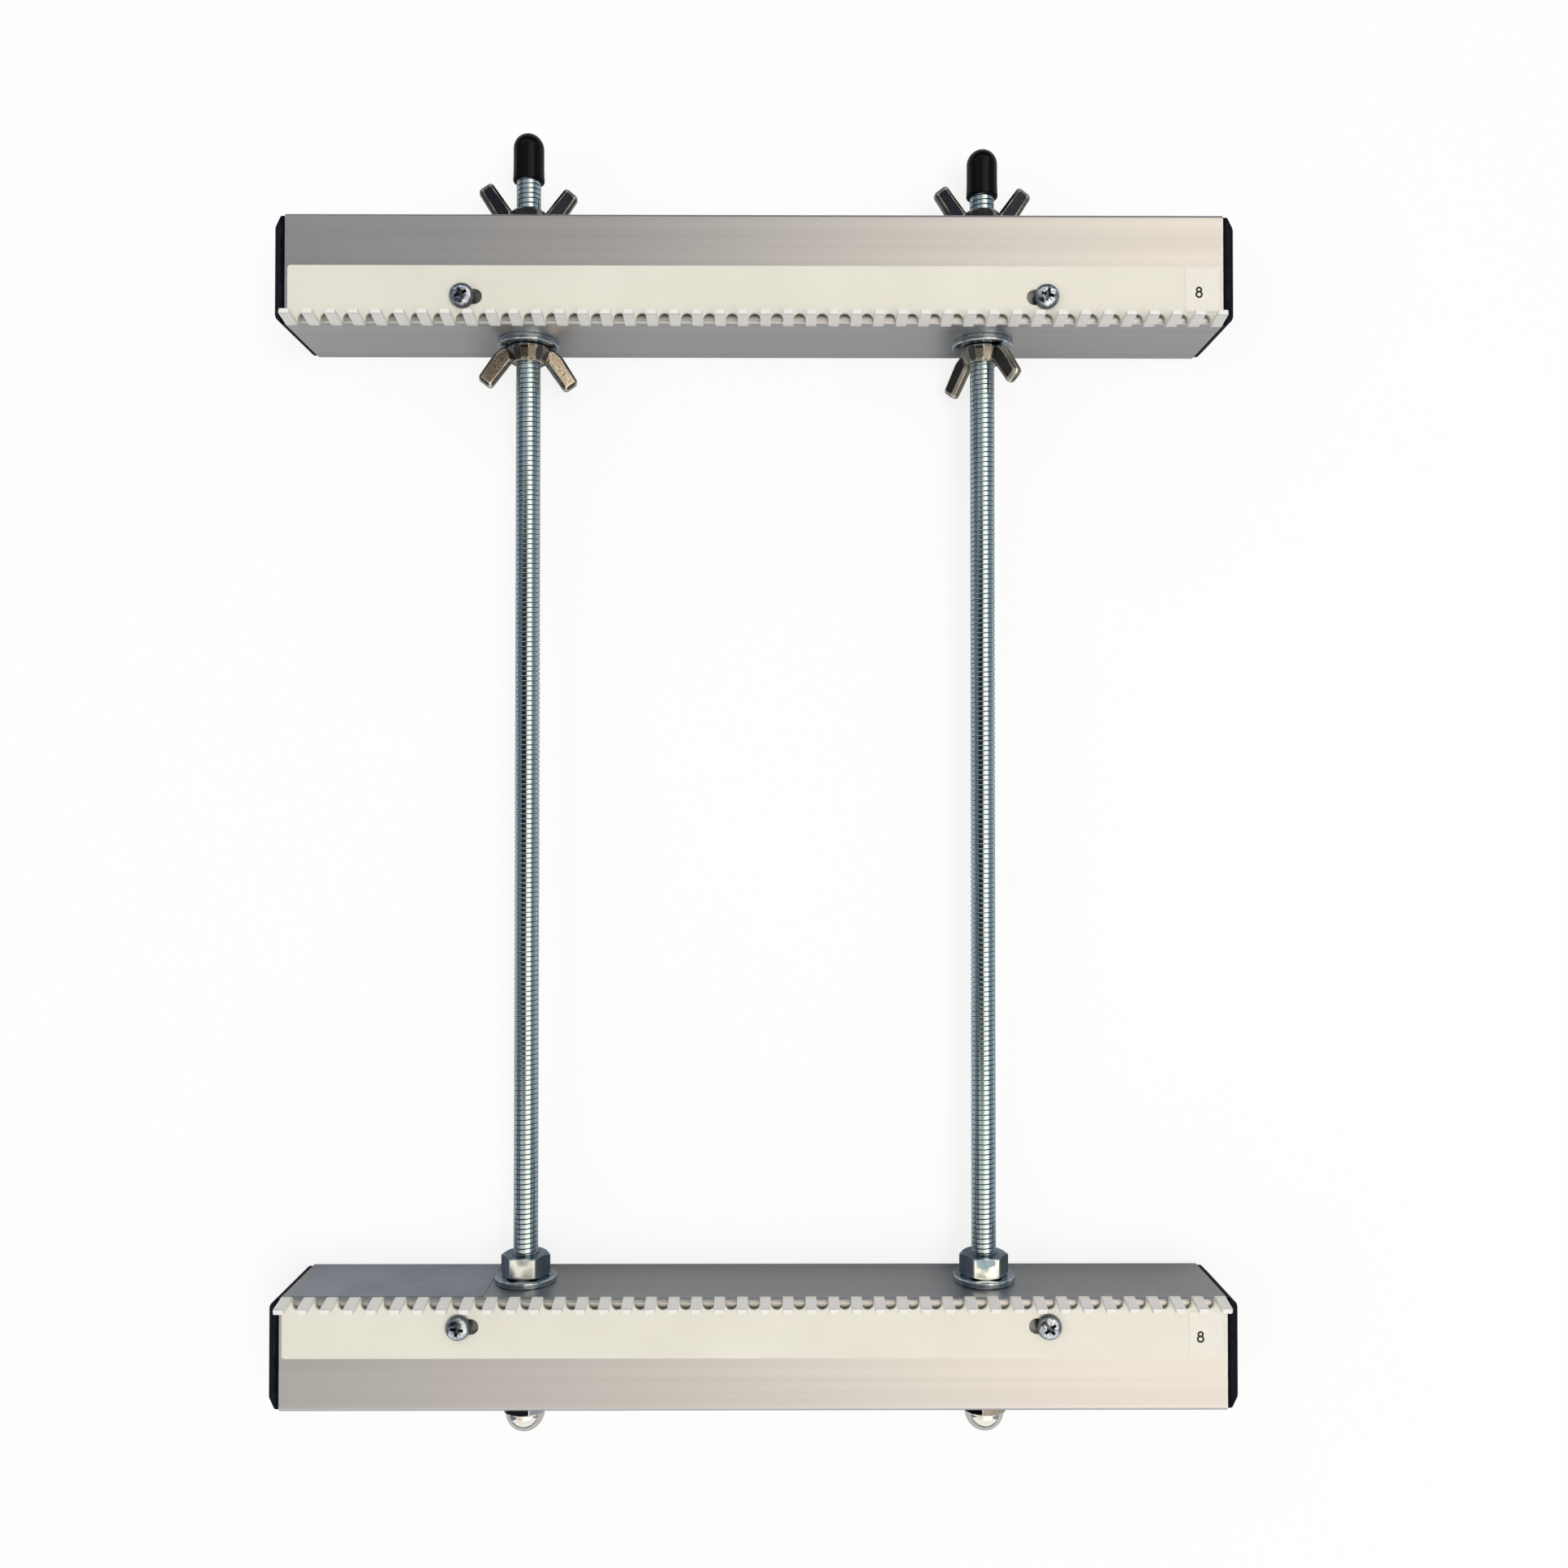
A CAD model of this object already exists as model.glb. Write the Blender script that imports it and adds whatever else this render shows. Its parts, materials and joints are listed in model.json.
# %% [markdown]
# # A tapestry loom, dressed piece by piece
# Two square aluminium tubes sit on two threaded rods. Each tube carries a comb of bent and coated
# steel, and wing nuts under and over the top tube set the tension of the warp. The construction
# arrives as a fixed frame in metres, lying on its back: X runs along the tubes, Y up the rods and
# Z out of the front. Nothing in it is moved. Each piece is modelled again at the same place, with
# the thread, the rounded edges and the finish that the plain solid leaves out.

# %% Load the packed loom
import json
import math

import bmesh
import bpy
from mathutils import Matrix, Vector


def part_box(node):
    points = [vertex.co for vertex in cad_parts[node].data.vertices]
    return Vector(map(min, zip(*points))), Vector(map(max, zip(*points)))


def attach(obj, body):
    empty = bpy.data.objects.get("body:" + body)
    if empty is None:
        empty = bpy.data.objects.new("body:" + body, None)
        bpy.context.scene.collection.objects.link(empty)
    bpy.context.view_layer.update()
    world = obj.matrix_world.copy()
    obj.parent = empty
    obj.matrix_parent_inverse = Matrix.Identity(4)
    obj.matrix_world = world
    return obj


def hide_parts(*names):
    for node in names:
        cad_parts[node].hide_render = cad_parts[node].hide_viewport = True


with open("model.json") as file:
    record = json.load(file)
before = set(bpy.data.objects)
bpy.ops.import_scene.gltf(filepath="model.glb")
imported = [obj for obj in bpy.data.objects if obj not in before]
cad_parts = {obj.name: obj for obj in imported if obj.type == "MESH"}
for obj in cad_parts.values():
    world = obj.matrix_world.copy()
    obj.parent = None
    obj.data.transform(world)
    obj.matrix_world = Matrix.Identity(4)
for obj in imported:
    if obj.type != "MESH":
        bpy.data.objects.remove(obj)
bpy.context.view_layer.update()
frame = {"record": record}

scene = bpy.context.scene
scene.view_settings.view_transform = "Standard"

# %% [markdown]
# ## Millimetres on the bench, metres in the scene
# Pieces are modelled in a loom maker's millimetres and turned into metres once, when finished.
# Places come from the boxes of the packed nodes, so that no piece drifts from its node.

# %% Units and places
MM = 0.001
side_words = ((-1, "left"), (1, "right"))
body_of = {
    node: body
    for body, nodes in frame["record"]["behaviour"]["bodies"].items()
    for node in nodes
}


def box_mm(node):
    """Lowest and highest corner of a packed node, in millimetres."""
    low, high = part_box(node)
    return low / MM, high / MM


bar_low, bar_high = box_mm("top_bar")
bar_side = bar_high.z - bar_low.z
rod_axis_z = bar_side / 2


def on_bar(bar):
    """Frame of a bar: Y is 0 on its inner face and grows outwards, so the bottom is mirrored."""
    low, high = box_mm(bar + "_bar")
    if bar == "top":
        return Matrix.Translation((0, low.y, 0))
    return Matrix.Translation((0, high.y, 0)) @ Matrix.Scale(-1, 4, (0, 1, 0))


def on_rod(node, up):
    """Frame of a piece on a rod: its foot is at Z = 0, and Z runs up (1) or down (-1) the loom."""
    low, high = box_mm(node)
    foot = low.y if up > 0 else high.y
    upright = Matrix.Rotation(-up * math.pi / 2, 4, "X")
    return Matrix.Translation(((low.x + high.x) / 2, foot, rod_axis_z)) @ upright


print("bar side", round(bar_side, 2), "mm,", len(body_of), "nodes")

# %% [markdown]
# ## The camera
# The photograph looks straight down from less than 40 cm, so the inner faces of both bars show.
# Distance, tilt and focal length were found by matching the corners of bars, teeth and washers.
# Blender takes the lens in the sensor's millimetres, so focal pixels are divided by the side.

# %% Camera at the photograph's place
photo_side_px = 1932
photo_focal_px = 1761
camera_data = bpy.data.cameras.new("photo_view")
camera_data.sensor_width = 36
camera_data.lens = photo_focal_px / photo_side_px * camera_data.sensor_width
camera_data.clip_start = 0.01
camera = bpy.data.objects.new("photo_view", camera_data)
camera.location = (0.00583, -0.00700, 0.38603)
camera.rotation_euler = (0.01457, -0.00449, 0.00029)
scene.collection.objects.link(camera)
scene.camera = camera
print("lens", round(camera_data.lens, 2), "mm,", round(camera.location.z, 3), "m above the floor")

# %% [markdown]
# ## Shader maths as plain sums
# A finish is a small calculation for every point of a surface, and wiring it node by node is hard
# to read. So a `Wire` stands for one output socket and turns Python's signs into Math nodes:
# `1 - mask * 0.3` makes two. A `Finish` owns one material, and its `node` makes any other node,
# with its settings first, because they decide which sockets exist.

# %% A wire
class Wire:
    """A value worked out for every point of a surface. + - * / and abs() add Math nodes."""

    def __init__(self, finish, socket):
        self.finish = finish
        self.socket = socket

    def math(self, operation, *values):
        return self.finish.node("ShaderNodeMath", {"operation": operation}, dict(enumerate(values)))

    __add__ = __radd__ = lambda self, other: self.math("ADD", self, other)
    __mul__ = __rmul__ = lambda self, other: self.math("MULTIPLY", self, other)
    __sub__ = lambda self, other: self.math("SUBTRACT", self, other)
    __rsub__ = lambda self, other: self.math("SUBTRACT", other, self)
    __truediv__ = lambda self, other: self.math("DIVIDE", self, other)
    __abs__ = lambda self: self.math("ABSOLUTE", self)

    def share(self, low, high, way="LINEAR"):
        """0 at low, 1 at high, held at both ends, with a straight or a smooth rise between."""
        limits = {"Value": self, "From Min": low, "From Max": high}
        return self.finish.node("ShaderNodeMapRange", {"interpolation_type": way}, limits)


print("a wire can:", [name.strip("_") for name, part in vars(Wire).items() if callable(part)])

# %% A finish
class Finish:
    """One procedural material round a Principled shader."""

    def __init__(self, name, **constants):
        self.material = bpy.data.materials.new(name)
        self.material.use_nodes = True
        self.tree = self.material.node_tree
        self.shader = self.tree.nodes["Principled BSDF"]
        for socket, value in constants.items():
            self.shader.inputs[socket.replace("_", " ")].default_value = value

    def node(self, kind, settings=None, sockets=None, out=0):
        made = self.tree.nodes.new(kind)
        for name, value in (settings or {}).items():
            setattr(made, name, value)
        for key, value in (sockets or {}).items():
            named = [s for s in made.inputs if s.enabled and s.name == key]
            self.feed(named[0] if named else made.inputs[key], value)
        return Wire(self, [s for s in made.outputs if s.enabled][out])

    def feed(self, socket, value):
        if isinstance(value, Wire):
            self.tree.links.new(value.socket, socket)
        else:
            socket.default_value = value

    def where(self):
        """The point in the loom's own frame, in metres."""
        return self.node("ShaderNodeTexCoord", out=3)

    def along(self, axis):
        """The point's X, Y or Z in the loom's own frame, in metres."""
        return self.node("ShaderNodeSeparateXYZ", None, {0: self.where()}, out="XYZ".index(axis))

    def noise(self, size, detail=3.0, stretch=(1, 1, 1)):
        """Soft noise from 0 to 1 whose patches are about size millimetres across, times stretch."""
        scale = [1 / (MM * size * along) for along in stretch]
        point = self.node("ShaderNodeMapping", None, {"Vector": self.where(), "Scale": scale})
        sockets = {"Vector": point, "Scale": 1.0, "Detail": detail}
        return self.node("ShaderNodeTexNoise", None, sockets)

    def blend(self, mask, first, second):
        """A colour between two, by a mask. A plain colour is three numbers."""
        first, second = [(*c, 1) if isinstance(c, tuple) else c for c in (first, second)]
        sockets = {"Factor": mask, "A": first, "B": second}
        return self.node("ShaderNodeMix", {"data_type": "RGBA"}, sockets)

    def layered(self, tone, *coats):
        """A tone under coats of colour, each a pair (mask, colour)."""
        for mask, colour in coats:
            tone = self.blend(mask, tone, colour)
        return tone

    def marked(self, attribute):
        """A value from 0 to 1 that was written on the mesh."""
        return self.node("ShaderNodeAttribute", {"attribute_name": attribute}, out=2)

    def worn(self):
        """1 on the rounded edges that hands and neighbours rub, broken up by noise."""
        return self.marked("wear") * self.noise(1.6).share(0.36, 0.62)

    def wear_this(self, tone, roughness, height, deep, strength=1.0):
        """Feeds the shader. The relief is a height from 0 to 1 that stands for deep millimetres."""
        relief = {"Strength": strength, "Distance": deep * MM, "Height": height}
        self.feed(self.shader.inputs["Base Color"], tone)
        self.feed(self.shader.inputs["Roughness"], roughness)
        self.feed(self.shader.inputs["Normal"], self.node("ShaderNodeBump", None, relief))
        print(self.material.name + ":", len(self.tree.nodes), "nodes")

    def light(self, colour):
        """Light of one colour, which may be a Wire."""
        return self.node("ShaderNodeEmission", None, {"Color": colour, "Strength": 1.0})

    def show(self, surface):
        """Shows a surface other than the Principled shader."""
        self.feed(self.tree.nodes["Material Output"].inputs["Surface"], surface)


print("a finish can:", [name for name in vars(Finish) if not name.startswith("_")])

# %% [markdown]
# ## Studio light
# The photograph has broad soft light from the lower right. The world is white for the camera and
# for reflections, and quieter for the light that it throws. Three softboxes add direction, a warm
# one and two cooler fills, at a level where a pale colour comes out about as it is written.

# %% World and softboxes
room_light = 0.45
world = bpy.data.worlds.new("white_room")
scene.world = world
world.use_nodes = True
room = world.node_tree
ray = room.nodes.new("ShaderNodeLightPath")
seen = ray.outputs["Is Camera Ray"]
for other_ray in ("Is Glossy Ray", "Is Transmission Ray"):
    either = room.nodes.new("ShaderNodeMath")
    either.operation = "MAXIMUM"
    room.links.new(seen, either.inputs[0])
    room.links.new(ray.outputs[other_ray], either.inputs[1])
    seen = either.outputs[0]
level = room.nodes.new("ShaderNodeMapRange")
level.inputs["To Min"].default_value = room_light
room.links.new(seen, level.inputs["Value"])
room.links.new(level.outputs[0], room.nodes["Background"].inputs["Strength"])
room.nodes["Background"].inputs["Color"].default_value = (1, 1, 1, 1)


def softbox(name, place, size, watts, colour):
    """A lamp that looks at the loom's middle and isn't mirrored in it."""
    lamp = bpy.data.lights.new(name, "AREA")
    lamp.shape = "RECTANGLE"
    lamp.size, lamp.size_y = size
    lamp.energy = watts
    lamp.color = colour
    holder = bpy.data.objects.new(name, lamp)
    holder.location = place
    holder.rotation_euler = (-Vector(place)).to_track_quat("-Z", "Y").to_euler()
    holder.visible_glossy = False
    scene.collection.objects.link(holder)


softbox("lower_right_softbox", (0.38, -0.14, 1.6), (0.9, 0.8), 14.4, (1.0, 0.98, 0.94))
softbox("left_fill", (-1.1, -0.2, 1.2), (0.9, 1.2), 4.4, (0.93, 0.96, 1.0))
softbox("far_fill", (-0.3, 1.3, 0.9), (1.2, 0.8), 2.4, (0.80, 0.85, 1.0))

# %% [markdown]
# ## Floor, scrim and flags
# The floor is white paper. For the camera it is mostly plain white and one fifth a lit surface,
# which keeps the loom's soft shadow. Far off it is all white, so its edge doesn't show, and in
# reflections it is greyer, which gives the bars' inner faces their grey.
#
# Metal shows what stands round it, so the stage has what a photographer of tools sets up, seen in
# reflections only. A scrim overhead, grey on the left and bright on the right, makes the bars'
# long gradient, bluish flags round the table draw the dark edges of nuts and threads, and the
# rods mirror a black card under the scrim as a dark band.

# %% Floor, scrim and flags
def loose_object(name, bm):
    mesh = bpy.data.meshes.new(name)
    bm.to_mesh(mesh)
    bm.free()
    made = bpy.data.objects.new(name, mesh)
    scene.collection.objects.link(made)
    return made


def stage_sheet(name, size, place, facing, finish, mirrored_only=True):
    """A flat sheet of the stage. It is no part of the loom."""
    turn = Vector(facing).to_track_quat("Z", "Y").to_matrix().to_4x4()
    bm = bmesh.new()
    bmesh.ops.create_grid(
        bm, x_segments=1, y_segments=1, size=0.5,
        matrix=Matrix.Translation(place) @ turn @ Matrix.Diagonal((*size, 1, 1)),
    )
    sheet = loose_object(name, bm)
    sheet.data.materials.append(finish.material)
    if mirrored_only:
        for seen_by in ("camera", "diffuse", "shadow", "transmission"):
            setattr(sheet, f"visible_{seen_by}", False)


def glowing(name, colour):
    """A finish that only gives off light."""
    made = Finish(name)
    made.show(made.light((*colour, 1)))
    return made


paper = Finish("white_paper", Specular_IOR_Level=0.1)
paper_tone = paper.blend(paper.noise(40), (0.92, 0.92, 0.92), (0.94, 0.94, 0.935))
mirrored_ray = paper.node("ShaderNodeLightPath", out=3)
paper_tone = paper.blend(mirrored_ray, paper_tone, (0.52, 0.53, 0.545))
paper.wear_this(paper_tone, 0.9, paper.noise(0.8), 0.02)
from_middle = paper.node("ShaderNodeVectorMath", {"operation": "LENGTH"}, {0: paper.where()})
plain_near, plain_far = 0.8, 1.0
plain_share = from_middle.share(0.5, 1.6, "SMOOTHSTEP") * (plain_far - plain_near) + plain_near
camera_ray = paper.node("ShaderNodeLightPath", out=0)
lit_paper = Wire(paper, paper.shader.outputs[0])
plain_white = paper.light((1, 1, 1, 1))
paper.show(paper.node(
    "ShaderNodeMixShader", None, {0: camera_ray * plain_share, 1: lit_paper, 2: plain_white}
))
stage_sheet("floor", (6, 6), (0, 0, -0.0002), (0, 0, 1), paper, mirrored_only=False)

scrim = Finish("scrim_pattern")
scrim_x, scrim_y = scrim.along("X"), scrim.along("Y")
scrim_start, scrim_end = scrim_y * 0.24 - 0.35, 0.45
scrim_rise = ((scrim_x - scrim_start) / (scrim_end - scrim_start)).share(0, 1, "SMOOTHSTEP")
scrim_dim = scrim.blend((0.5 - scrim_y).share(0, 1), (0.42, 0.43, 0.45), (0.80, 0.755, 0.71))
scrim_bright = (1.86, 1.69, 1.46)
scrim.show(scrim.light(scrim.blend(scrim_rise, scrim_dim, scrim_bright)))
stage_sheet("overhead_scrim", (2.2, 2.2), (0, 0, 1.05), (0, 0, -1), scrim)
card = glowing("black_card", (0.01, 0.01, 0.015))
stage_sheet("black_card", (1.09, 0.60), (-0.555, 0, 1.0), (0, 0, -1), card)
flag_colour = (0.82, 0.96, 1.18)
flag_distance = 0.62
for flag, facing, height, tone in (
    ("flag_left", (1, 0, 0), 0.6, 0.20), ("flag_right", (-1, 0, 0), 0.6, 0.32),
    ("flag_far", (0, -1, 0), 0.36, 0.10), ("flag_near", (0, 1, 0), 0.07, 0.08),
):
    place = Vector(facing) * -flag_distance + Vector((0, 0, height / 2))
    cloth = glowing(flag, tuple(tone * part for part in flag_colour))
    stage_sheet(flag, (1.2, height), place, facing, cloth)

# %% [markdown]
# ## Bench tools
# Each way of working metal has its operator: `spin` is the lathe, `extrude` the press, `bevel` the
# file. A filed edge also gets a face attribute called wear, which the finishes read to rub it
# bright. It is kept on faces, because a flat face between two filed edges has no points of its
# own, and a point attribute would spread right over it.

# %% Edges and faces
def bench():
    """An empty mesh with the wear layer on its faces."""
    bm = bmesh.new()
    bm.faces.layers.float.new("wear")
    return bm


def rounded(bm, geom, radius, segments, affect="EDGES", clamp=False):
    """Bevels edges, or the corners of a flat face, to an arc."""
    return bmesh.ops.bevel(
        bm, geom=geom, offset=radius, segments=segments, profile=0.5,
        affect=affect, clamp_overlap=clamp, material=-1,
    )["faces"]


def soften(bm, edges, radius, segments=2):
    """Files edges round and marks what is filed as worn."""
    filed = rounded(bm, edges, radius, segments, clamp=True)
    wear = bm.faces.layers.float["wear"]
    for face in filed:
        face[wear] = 1.0


def span(edge, axis):
    """How far an edge reaches along X (0), Y (1) or Z (2)."""
    return abs(edge.verts[0].co[axis] - edge.verts[1].co[axis])


def sharp_edges(bm, degrees):
    limit = math.radians(degrees)
    return [e for e in bm.edges if e.is_manifold and e.calc_face_angle(0) > limit]


def facing_out(bm):
    bmesh.ops.recalc_face_normals(bm, faces=bm.faces)
    return bm


def points_of(geom):
    return [g for g in geom if isinstance(g, bmesh.types.BMVert)]


def pressed(bm, faces, way):
    """Extrudes faces by one step."""
    made = bmesh.ops.extrude_face_region(bm, geom=faces)["geom"]
    bmesh.ops.translate(bm, verts=points_of(made), vec=way)
    return facing_out(bm)


print("bench ready for edges and faces")

# %% Cutting and joining
def stub(radius, depth, place, segments=48, top=None):
    """A round or many-sided bar along Z, centred on its place."""
    bm = bench()
    bmesh.ops.create_cone(
        bm, cap_ends=True, segments=segments, radius1=radius, radius2=top or radius, depth=depth,
        matrix=place,
    )
    return bm


def worked(bm, kind, **settings):
    """Runs one modifier on a mesh and returns what it made."""
    blank = loose_object("blank", bm)
    modifier = blank.modifiers.new(kind, kind)
    for name, value in settings.items():
        setattr(modifier, name, value)
    result = bmesh.new()
    result.from_object(blank, bpy.context.evaluated_depsgraph_get())
    bpy.data.objects.remove(blank)
    return result


def cut(bm, tool_bm, operation="DIFFERENCE"):
    """Cuts one closed shape out of another, or joins the two as one solid."""
    tool = loose_object("tool", tool_bm)
    result = worked(bm, "BOOLEAN", object=tool, solver="EXACT", operation=operation)
    bpy.data.objects.remove(tool)
    return result


def join(bm, other):
    """Adds another mesh to this one."""
    mesh = bpy.data.meshes.new("joined")
    other.to_mesh(mesh)
    other.free()
    bm.from_mesh(mesh)
    bpy.data.meshes.remove(mesh)


print("bench ready for cutting and joining")

# %% [markdown]
# ## Handing a piece over
# A finished mesh gets its place and its metres in one step, and its object stays at the origin.
# The piece takes the place of its packed node and rides on that node's body. What is printed
# shows faults at once: an edge that isn't closed, or a piece that stands out of its node's box.

# %% Handing a piece over
made_pieces = []


def hand_over(name, bm, place, node, slot, finish, crease=32, flat_faces=False):
    """Puts a mesh made in millimetres at its place in metres, in the stead of a packed node."""
    bm.transform(Matrix.Scale(MM, 4) @ place)
    facing_out(bm)
    limit = math.radians(crease)
    for face in bm.faces:
        face.smooth = True
    for edge in bm.edges:
        edge.smooth = edge.is_manifold and edge.calc_face_angle(0) < limit
    open_edges = sum(not e.is_manifold for e in bm.edges)
    triangles = sum(len(f.verts) - 2 for f in bm.faces)
    piece = loose_object(name, bm)
    piece.data.materials.append(finish.material)
    if flat_faces:
        piece.modifiers.new("even_normals", "WEIGHTED_NORMAL").keep_sharp = True
    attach(piece, body_of[node])
    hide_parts(node)
    made_pieces.append(name)
    low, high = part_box(node)
    corners = [Vector(c) for c in piece.bound_box]
    over = max(
        max(low[i] - min(c[i] for c in corners), max(c[i] for c in corners) - high[i])
        for i in range(3)
    )
    print(f"{name}: {triangles} triangles, {open_edges} open edges, {over / MM:+.3f} mm past")


def hand_over_pair(kind, prefix, make, slot, finish, **shading):
    """Makes the same piece for both rods, from its node's radius and height."""
    for _, word in side_words:
        node = f"{kind}_{word}"
        low, high = box_mm(node)
        bm = make((high.x - low.x) / 2, high.y - low.y)
        hand_over(prefix + node, bm, on_rod(node, 1), node, slot, finish, **shading)


# %% [markdown]
# ## Satin aluminium of the bars
# The bars are extruded and anodised. The die leaves faint lines along the bar, here noise
# stretched a hundredfold along X, the acid bath a fine satin grain, and handling softer patches.
# Three tones are told from the place, as photographed: the front wall is dark where a comb's
# notches and slots open on it, and the lower bar's inner face is darker than the upper one's.

# %% Finish of the bars
satin = Finish("satin_aluminium", Metallic=1.0)
die_lines = satin.noise(2.6, 2.0, (160, 1, 1))
satin_grain = satin.noise(0.28, 2.0, (1.6, 1, 1))
handling = satin.noise(28, 3.0, (2.4, 1, 1))

window_low = box_mm("bottom_bar")[1].y
window_middle, half_window = (bar_low.y + window_low) / 2, (bar_low.y - window_low) / 2
satin_y = satin.along("Y")
past_window = abs(satin_y - window_middle * MM) / MM - half_window
near_front = (satin.along("Z") / MM).share(bar_side - 1.4, bar_side - 0.3)
in_notch = past_window.share(1.2, 2.2) * (1 - past_window.share(2.6, 3.2)) * near_front
slot_row, slot_middle = 6.5, 71.8
across_slot = 1 - abs(past_window - slot_row).share(1.5, 2.2)
along_slot = 1 - abs(abs(satin.along("X")) / MM - slot_middle).share(3.0, 3.9)
lower_inner_face = (1 - past_window.share(0.1, 0.8)) * (1 - satin_y.share(-0.02, 0.02))
satin_tone = satin.layered(
    (0.525, 0.52, 0.515), (die_lines.share(0.3, 0.7), (0.60, 0.595, 0.59)),
    (handling.share(0.35, 0.75) * 0.35, (0.64, 0.63, 0.62)),
    (satin_grain.share(0.35, 0.65) * 0.24, (0.42, 0.415, 0.41)),
    (in_notch * 0.85, (0.05, 0.048, 0.045)),
    (across_slot * along_slot * near_front * 0.8, (0.10, 0.11, 0.115)),
    (lower_inner_face * 0.36, (0.10, 0.125, 0.16)), (satin.worn() * 0.7, (0.86, 0.85, 0.83)),
)
satin_gloss = 0.30 + handling * 0.10 + satin_grain * 0.06 - satin.worn() * 0.1
satin.wear_this(satin_tone, satin_gloss, satin_grain * 0.8 + die_lines * 0.2, 0.012)

# %% [markdown]
# ## The bars
# A square tube is a ring pulled along its length: two rounded squares bridged together, each of
# four points whose corners are bevelled. The cut ends are filed, and the holes are drilled last
# with a boolean, because a bevel over the many-sided faces that a cut leaves is easily spoiled.

# %% Shape of a bar
bar_length = bar_high.x - bar_low.x
tube_wall = 1.6
tube_corner = 1.0
tube_inner_corner = 0.4
saw_burr = 0.18
rod_hole = 7.1
screw_hole = 3.6
rod_axis_x = (box_mm("rod_right")[0].x + box_mm("rod_right")[1].x) / 2
screw_low, screw_high = box_mm("top_comb_screw_right")
screw_axis_x = (screw_low.x + screw_high.x) / 2
screw_axis_y = (screw_low.y + screw_high.y) / 2 - bar_low.y


def rounded_square(bm, side, corner, x):
    """A square face across X with round corners, in the middle of the bar."""
    before = set(bm.faces)
    across = Matrix.Translation((x, 0, 0)) @ Matrix.Rotation(math.pi / 2, 4, "Y")
    points = bmesh.ops.create_circle(
        bm, cap_ends=True, segments=4, radius=side / math.sqrt(2),
        matrix=across @ Matrix.Rotation(math.pi / 4, 4, "Z"),
    )["verts"]
    rounded(bm, points, corner, 6, "VERTICES")
    return (set(bm.faces) - before).pop()


def lofted(sections):
    """A closed shape through square sections (side, corner, x)."""
    bm = bench()
    faces = [rounded_square(bm, *section) for section in sections]
    rims = [list(face.edges) for face in faces]
    bmesh.ops.delete(bm, geom=faces[1:-1], context="FACES_ONLY")
    for rim, following in zip(rims, rims[1:]):
        bmesh.ops.bridge_loops(bm, edges=rim + following)
    return facing_out(bm)


def square_pipe(outside, inside, start, end):
    """A pipe from one x to another, with outside and inside each a pair (side, corner)."""
    bm = bench()
    faces = [rounded_square(bm, *section, start) for section in (outside, inside)]
    rims = [e for face in faces for e in face.edges]
    bmesh.ops.delete(bm, geom=faces, context="FACES_ONLY")
    ring = bmesh.ops.bridge_loops(bm, edges=rims)["faces"]
    return pressed(bm, ring, (end - start, 0, 0))


def tube():
    inside = bar_side - 2 * tube_wall
    bm = square_pipe(
        (bar_side, tube_corner), (inside, tube_inner_corner), -bar_length / 2, bar_length / 2
    )
    soften(bm, [e for e in sharp_edges(bm, 60) if span(e, 0) < 1], saw_burr)
    bmesh.ops.translate(bm, verts=bm.verts, vec=(0, bar_side / 2, bar_side / 2))
    tools = bench()
    quarter_turn = Matrix.Rotation(math.pi / 2, 4, "X")
    for side, _ in side_words:
        through = Matrix.Translation((side * rod_axis_x, bar_side / 2, rod_axis_z)) @ quarter_turn
        front = Matrix.Translation((side * screw_axis_x, screw_axis_y, bar_side))
        join(tools, stub(rod_hole / 2, bar_side + 4, through))
        join(tools, stub(screw_hole / 2, 2 * tube_wall + 1, front))
    return cut(bm, tools)


# %% Top and bottom bar
for bar in ("top", "bottom"):
    hand_over(
        f"{bar}_tube", tube(), on_bar(bar), f"{bar}_bar", "tube", satin, crease=40, flat_faces=True
    )

# %% [markdown]
# ## Black plastic of the end plugs
# The spark-eroded mould leaves a fine pebbled skin with a dull sheen, a little smoother where the
# plug was pushed in by hand. Pebbles this small would cost the mesh far too many faces, so they
# are a bump on fine noise.

# %% Finish of the plugs
plug_plastic = Finish("moulded_black_plastic", Specular_IOR_Level=0.04)
pebbles = plug_plastic.noise(0.35, 2.0)
scuffs = plug_plastic.noise(5.0, 4.0)
plug_tone = plug_plastic.layered(
    (0.0015, 0.002, 0.005), (scuffs.share(0.3, 0.8), (0.004, 0.005, 0.010)),
    (plug_plastic.worn() * 0.3, (0.04, 0.042, 0.055)),
)
plug_gloss = 0.42 + scuffs * 0.16 - plug_plastic.worn() * 0.08
plug_plastic.wear_this(plug_tone, plug_gloss, pebbles, 0.03, 0.7)

# %% [markdown]
# ## The end plugs
# Lip and slope are a loft through three rounded squares, which `bridge_loops` joins without a
# twist because all have as many points. The skirt that grips inside the tube is a short pipe, and
# a boolean union makes one solid of the two.

# %% Shape of a plug
plug_low, plug_high = box_mm("top_plug_right")
plug_side = plug_high.y - plug_low.y
plug_lip = 1.2
plug_slope = 2.0
skirt_side = bar_side - 2 * tube_wall - 0.1
skirt_wall = 1.4
skirt_end = plug_low.x - bar_length / 2


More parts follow.
